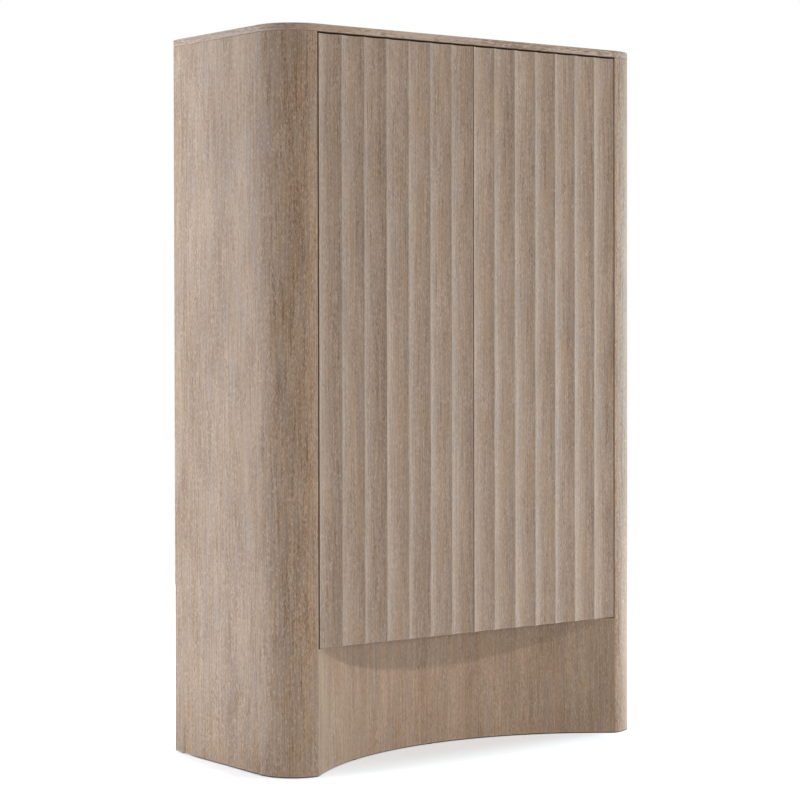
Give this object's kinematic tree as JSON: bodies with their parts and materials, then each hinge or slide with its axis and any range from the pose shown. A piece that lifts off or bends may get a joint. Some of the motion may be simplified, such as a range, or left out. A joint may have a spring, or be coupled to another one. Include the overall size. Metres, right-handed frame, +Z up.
{
  "type": "bar armoire",
  "caption": "Tall bar cabinet in pale limed oak with rounded front corners, fluted push-to-open doors, a hollow-curved base and shelves, mirror, bottle and glass racks inside.",
  "frame": {"origin": "floor level at the middle of the footprint", "axes": "+X to the right as seen from the front, +Y to the back, +Z up; the doors face -Y"},
  "size_m": [1.226, 0.515, 1.905],
  "materials": {
    "side_oak": "pale limed oak veneer, matt lacquer",
    "top_oak": "pale limed oak veneer, matt lacquer",
    "apron_oak": "pale limed oak veneer, matt lacquer",
    "door_oak": "pale limed solid oak, matt lacquer",
    "core_oak": "pale limed oak veneer, matt lacquer",
    "inside_oak": "pale limed oak veneer, matt lacquer",
    "frame_board": "unfinished plywood",
    "back_board": "oak veneered board, matt lacquer",
    "hinge_steel": "nickel plated, satin",
    "screw_steel": "zinc plated",
    "latch_plastic": "moulded, matt",
    "glide_plastic": "moulded, matt",
    "bumper_rubber": "soft, translucent",
    "shelf_glass": "clear, polished edges",
    "mirror_glass": "silvered"
  },
  "bodies": {
    "case": {"left_side_shell": "side_oak", "right_side_shell": "side_oak", "top_panel": "top_oak", "base_apron": "apron_oak", "cabinet_floor": "inside_oak", "left_gable": "inside_oak", "right_gable": "inside_oak", "bar_shelf": "inside_oak", "rack_shelf": "inside_oak", "lower_shelf": "inside_oak", "lower_divider": "inside_oak", "upper_divider": "inside_oak", "bottle_cross_long": "inside_oak", "bottle_cross_halves": "inside_oak", "glass_rack_spacers": "inside_oak", "glass_rack_slats": "inside_oak", "latch_rail": "inside_oak", "wall_rail": "inside_oak", "door_stop": "inside_oak", "base_ribs": "frame_board", "base_rear_rail": "frame_board", "left_corner_formers": "frame_board", "right_corner_formers": "frame_board", "back_panel": "back_board", "left_hinge_arms": "hinge_steel", "right_hinge_arms": "hinge_steel", "left_hinge_plates": "hinge_steel", "right_hinge_plates": "hinge_steel", "shelf_pins": "hinge_steel", "back_panel_screws": "screw_steel", "left_hinge_screws": "screw_steel", "right_hinge_screws": "screw_steel", "latch_housings": "latch_plastic", "floor_glides": "glide_plastic", "door_bumpers": "bumper_rubber", "left_glass_shelf": "shelf_glass", "right_glass_shelf": "shelf_glass", "mirror_panel": "mirror_glass"},
    "left_door": {"left_door_staves": "door_oak", "left_door_core": "core_oak", "left_door_strike": "hinge_steel", "left_hinge_cups": "hinge_steel", "left_hinge_pins": "hinge_steel"},
    "left_plunger": {"left_latch_plunger": "latch_plastic"},
    "right_door": {"right_door_staves": "door_oak", "right_door_core": "core_oak", "right_door_strike": "hinge_steel", "right_hinge_cups": "hinge_steel", "right_hinge_pins": "hinge_steel"},
    "right_plunger": {"right_latch_plunger": "latch_plastic"}
  },
  "joints": [
    {"name": "left_door_swing", "type": "hinge", "parent": "case", "child": "left_door", "pos_m": [-0.4795, -0.2405, 1.10325], "axis": [0, 0, -1], "range_deg": [0, 95]},
    {"name": "right_door_swing", "type": "hinge", "parent": "case", "child": "right_door", "pos_m": [0.4795, -0.2405, 1.10325], "axis": [0, 0, 1], "range_deg": [0, 95]},
    {"name": "left_latch_push", "type": "slide", "parent": "case", "child": "left_plunger", "axis": [0, 1, 0], "range_m": [0, 0.003], "stiffness_N_per_m": 1500},
    {"name": "right_latch_push", "type": "slide", "parent": "case", "child": "right_plunger", "axis": [0, 1, 0], "range_m": [0, 0.003], "stiffness_N_per_m": 1500}
  ]
}
